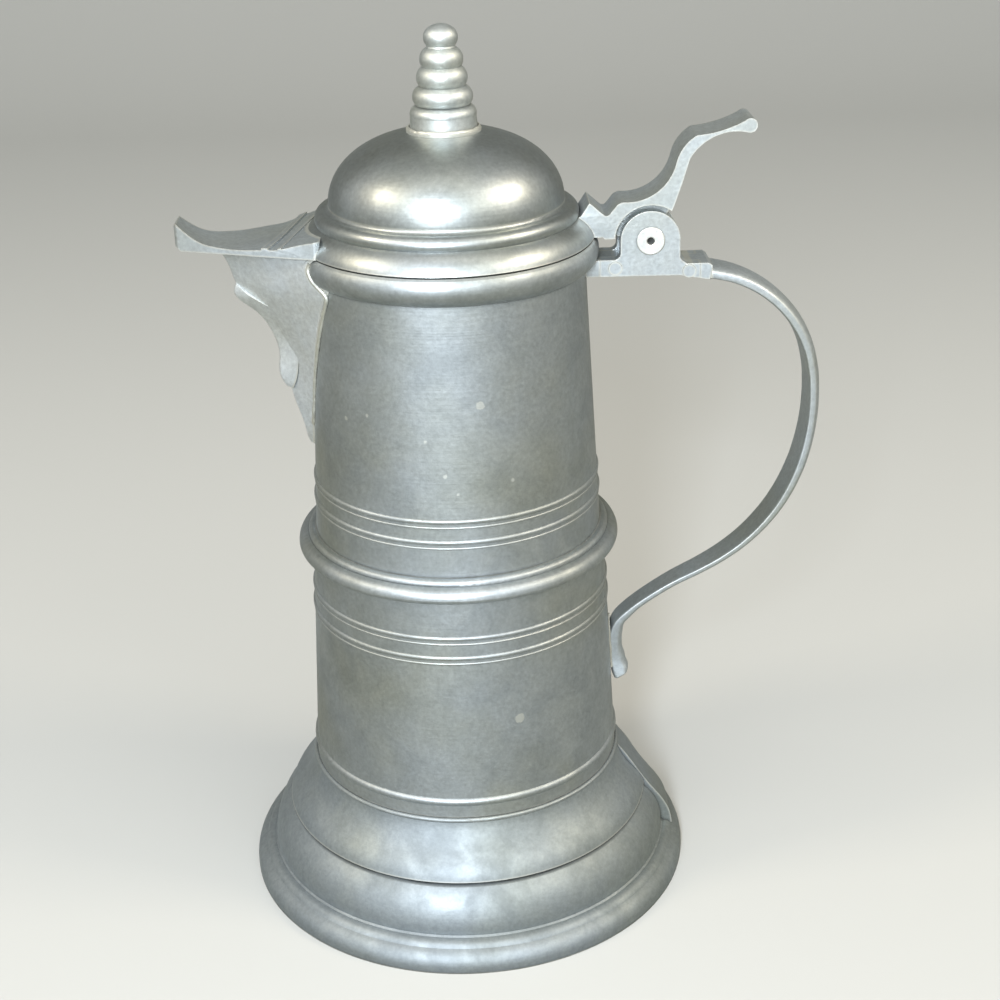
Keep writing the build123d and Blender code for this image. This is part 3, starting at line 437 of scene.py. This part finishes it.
raised = add(sweep, "ShaderNodeVectorMath", {"operation": "ADD"}, _0=read["spine"], _1=lifted.outputs[0])
placed = add(sweep, "ShaderNodeVectorMath", {"operation": "ADD"}, _0=raised.outputs[0], _1=aside.outputs[0])
shaped = add(sweep, "GeometryNodeSetPosition", Geometry=tube.outputs[0], Position=placed.outputs[0])
smooth = add(sweep, "GeometryNodeSetShadeSmooth", Geometry=shaped.outputs[0])
real = add(sweep, "GeometryNodeRealizeInstances", Geometry=smooth.outputs[0])
coated = add(sweep, "GeometryNodeSetMaterial", Geometry=real.outputs[0], Material=given.outputs["Metal"])
add(sweep, "NodeGroupOutput", Strap=coated.outputs[0])
SEAM_ANGLE = 40.0


def grown(name, start, tree, **inputs):
    """Plain mesh that a geometry tree makes from a path mesh, with its named inputs set."""
    seed_object = bpy.data.objects.new(name, start)
    scene.collection.objects.link(seed_object)
    growth = seed_object.modifiers.new(tree.name, "NODES")
    growth.node_group = tree
    for socket in tree.interface.items_tree:
        if socket.in_out == "INPUT" and socket.name in inputs:
            growth[socket.identifier] = inputs[socket.name]
    graph = bpy.context.evaluated_depsgraph_get()
    made = bpy.data.meshes.new_from_object(seed_object.evaluated_get(graph))
    bpy.data.objects.remove(seed_object)
    for extra in [a.name for a in made.attributes if a.name in read]:
        made.attributes.remove(made.attributes[extra])
    made.set_sharp_from_angle(angle=radians(SEAM_ANGLE))
    made.name = name
    return made


strap_mesh = grown("crowned_strap", path_mesh, sweep, Squareness=SQUARENESS, Metal=cast)
block = softened("handle_with_block", "handle", "vessel", cast, 0.0005, 3)
# Only the block is kept of the solid, and the strap joins it in one mesh
cut = bmesh.new()
cut.from_mesh(block.data)
bmesh.ops.bisect_plane(cut, geom=cut.verts[:] + cut.edges[:] + cut.faces[:], clear_outer=True,
                       plane_co=(PIVOT[0] + BLOCK_END, 0, 0), plane_no=(1, 0, 0))
bmesh.ops.delete(cut, geom=[v for v in cut.verts if v.co.z < BLOCK_LOW], context="VERTS")
bmesh.ops.holes_fill(cut, edges=[e for e in cut.edges if e.is_boundary], sides=0)
bmesh.ops.triangulate(cut, faces=cut.faces[:])
cut.from_mesh(strap_mesh)
cut.to_mesh(block.data)
cut.free()
block.data.set_sharp_from_angle(angle=radians(FACET_ANGLE))

# Hinge: two cheeks riveted to the block, and a tubular rivet on which the lid turns.
for side in ("near", "far"):
    softened(f"ear_{side}", f"hinge_cheek_{side}", "vessel", cast, 0.0005)
finish(cast, "cheek_rivets")
# Nearly white, since the lid's turning rubs the rivet clean
pins = old_pewter("worn_rivet_metal", "#E6E8E8", "#F4F5F5", "#FBFAF4", (0.45, 0.5), 0.2, 0.0)
finish(pins, "finial_screw")
softened("pin_with_round_heads", "hinge_pin", "vessel", pins, 0.0005, 3)

# Lid: brim, dome and bezel, turned and wiped more than the drum, and the finial on its seat,
# which fingers have rubbed pale.
#
# A smoother grey with tight highlights
bright = old_pewter("handled_turned_pewter", "#A8AEB1", "#BDC3C6", "#F4F1E4", (0.31, 0.39), 0.22, 0.25,
                    most_groove_shade=0.7)
finish(bright, "lid_brim", "lid_dome")
# A whitish, more matt grey
knob_metal = old_pewter("rubbed_finial_pewter", "#BCC2C3", "#D2D6D5", "#F7F4E6", (0.44, 0.54), 0.4, 0.2,
                        most_groove_shade=0.45)
finish(knob_metal, "finial_seat", "finial")
finish(inside, "lid_bezel")

# Flap over the spout and thumb lever, both cast, filed round and soldered to the lid.
softened("flap_with_filed_edges", "spout_flap", "lid", cast, 0.0004)
softened("thumb_piece", "thumb_lever", "lid", cast, 0.0010, 4)

# Solder: an uneven bright bead left along the spout's joint with the collar and the drum, beside
# the handle's tail, and round the foot of the finial. A tree sweeps it along each path.
bead = bpy.data.node_groups.new("solder_bead", "GeometryNodeTree")
bead.interface.new_socket("Path", in_out="INPUT", socket_type="NodeSocketGeometry")
for name in ("Radius", "Unevenness", "Wave", "Seed"):
    bead.interface.new_socket(name, in_out="INPUT", socket_type="NodeSocketFloat")
bead.interface.new_socket("Metal", in_out="INPUT", socket_type="NodeSocketMaterial")
bead.interface.new_socket("Bead", in_out="OUTPUT", socket_type="NodeSocketGeometry")
given = add(bead, "NodeGroupInput")
run = add(bead, "GeometryNodeMeshToCurve", Mesh=given.outputs["Path"])
fine = add(bead, "GeometryNodeResampleCurve", {"mode": "LENGTH"}, Curve=run.outputs[0], Length=0.0004)
wire = add(bead, "GeometryNodeCurvePrimitiveCircle", Resolution=14, Radius=given.outputs["Radius"])
tube = add(bead, "GeometryNodeCurveToMesh", Curve=fine.outputs[0], Profile_Curve=wire.outputs[0],
           Fill_Caps=True)
here = add(bead, "GeometryNodeInputPosition")
lumps = add(bead, "ShaderNodeTexNoise", {"noise_dimensions": "4D"}, Vector=here.outputs[0],
            W=given.outputs["Seed"], Scale=given.outputs["Wave"], Detail=2.0)
high = add(bead, "ShaderNodeMath", {"operation": "SUBTRACT"}, _0=lumps.outputs[0], _1=0.5)
push = add(bead, "ShaderNodeMath", {"operation": "MULTIPLY"}, _0=high.outputs[0],
           _1=given.outputs["Unevenness"])
outside = add(bead, "GeometryNodeInputNormal")
shift = add(bead, "ShaderNodeVectorMath", {"operation": "SCALE"}, _0=outside.outputs[0],
            Scale=push.outputs[0])
uneven = add(bead, "GeometryNodeSetPosition", Geometry=tube.outputs[0], Offset=shift.outputs[0])
smooth = add(bead, "GeometryNodeSetShadeSmooth", Geometry=uneven.outputs[0])
real = add(bead, "GeometryNodeRealizeInstances", Geometry=smooth.outputs[0])
coated = add(bead, "GeometryNodeSetMaterial", Geometry=real.outputs[0], Material=given.outputs["Metal"])
add(bead, "NodeGroupOutput", Bead=coated.outputs[0])
# A whitish grey, a little warmer than the pewter round it
solder = old_pewter("bright_solder", "#D6D9D5", "#ECEDE7", "#FAF5E4", (0.42, 0.52), 0.7, 0.0)


def soldered(name, body, paths, radius, unevenness, wave, seed):
    """Uneven beads of solder along lines of points, as one piece that moves with a body; sizes in m."""
    mesh = bpy.data.meshes.new(name + "_paths")
    joined = bmesh.new()
    for points, closed in paths:
        verts = [joined.verts.new(p) for p in points]
        for a, b in zip(verts, verts[1:] + (verts[:1] if closed else [])):
            joined.edges.new((a, b))
    joined.to_mesh(mesh)
    joined.free()
    made = grown(name, mesh, bead, Radius=radius, Unevenness=unevenness, Wave=wave, Seed=seed,
                 Metal=solder)
    piece = bpy.data.objects.new(name, made)
    scene.collection.objects.link(piece)
    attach(piece, body)


# The near joint of the spout, down from the collar; the far one is its mirror image about the
# spout's own plane, moved onto the drum
SPOUT_SEAM = ((-0.0404, -0.0199, 0.2157), (-0.0410, -0.0196, 0.2140), (-0.0405, -0.0202, 0.2115),
              (-0.0386, -0.0205, 0.2089), (-0.0362, -0.0213, 0.2060), (-0.0366, -0.0204, 0.2030),
              (-0.0377, -0.0186, 0.1990), (-0.0389, -0.0167, 0.1940), (-0.0399, -0.0149, 0.1890),
              (-0.0408, -0.0129, 0.1840), (-0.0416, -0.0111, 0.1790), (-0.0422, -0.0096, 0.1740),
              (-0.0428, -0.0082, 0.1690), (-0.0432, -0.0069, 0.1645), (-0.0437, -0.0050, 0.1605))
SPOUT_ASIDE = -0.0018
far_seam = []
for x, y, z in SPOUT_SEAM:
    far_y = 2 * SPOUT_ASIDE - y
    far_seam.append((-(x * x + y * y - far_y * far_y) ** 0.5, far_y, z))
# The joint beside the tail as x and z, and how far it lies from the middle
TAIL_SEAM = ((0.0483, 0.0887), (0.0484, 0.0855), (0.0486, 0.0810), (0.0488, 0.0770), (0.0491, 0.0720),
             (0.0493, 0.0685))
TAIL_HALF = 0.0038
tail_paths = [(through([(x, side * TAIL_HALF, z) for x, z in TAIL_SEAM], 3), False) for side in (-1, 1)]
soldered("solder_of_spout", "vessel", [(through(SPOUT_SEAM, 4), False), (through(far_seam, 4), False)],
         0.0008, 0.0009, 260.0, 3.0)
soldered("solder_of_tail", "vessel", tail_paths, 0.0006, 0.0007, 300.0, 7.0)
# The ring under the finial
RING_RADIUS = 0.0104
RING_HEIGHT = 0.2502
RING_POINTS = 60
ring_turns = [2 * pi * i / RING_POINTS for i in range(RING_POINTS)]
ring_path = [(RING_RADIUS * cos(a), RING_RADIUS * sin(a), RING_HEIGHT) for a in ring_turns]
soldered("solder_of_finial", "lid", [(ring_path, True)], 0.0006, 0.0014, 330.0, 11.0)
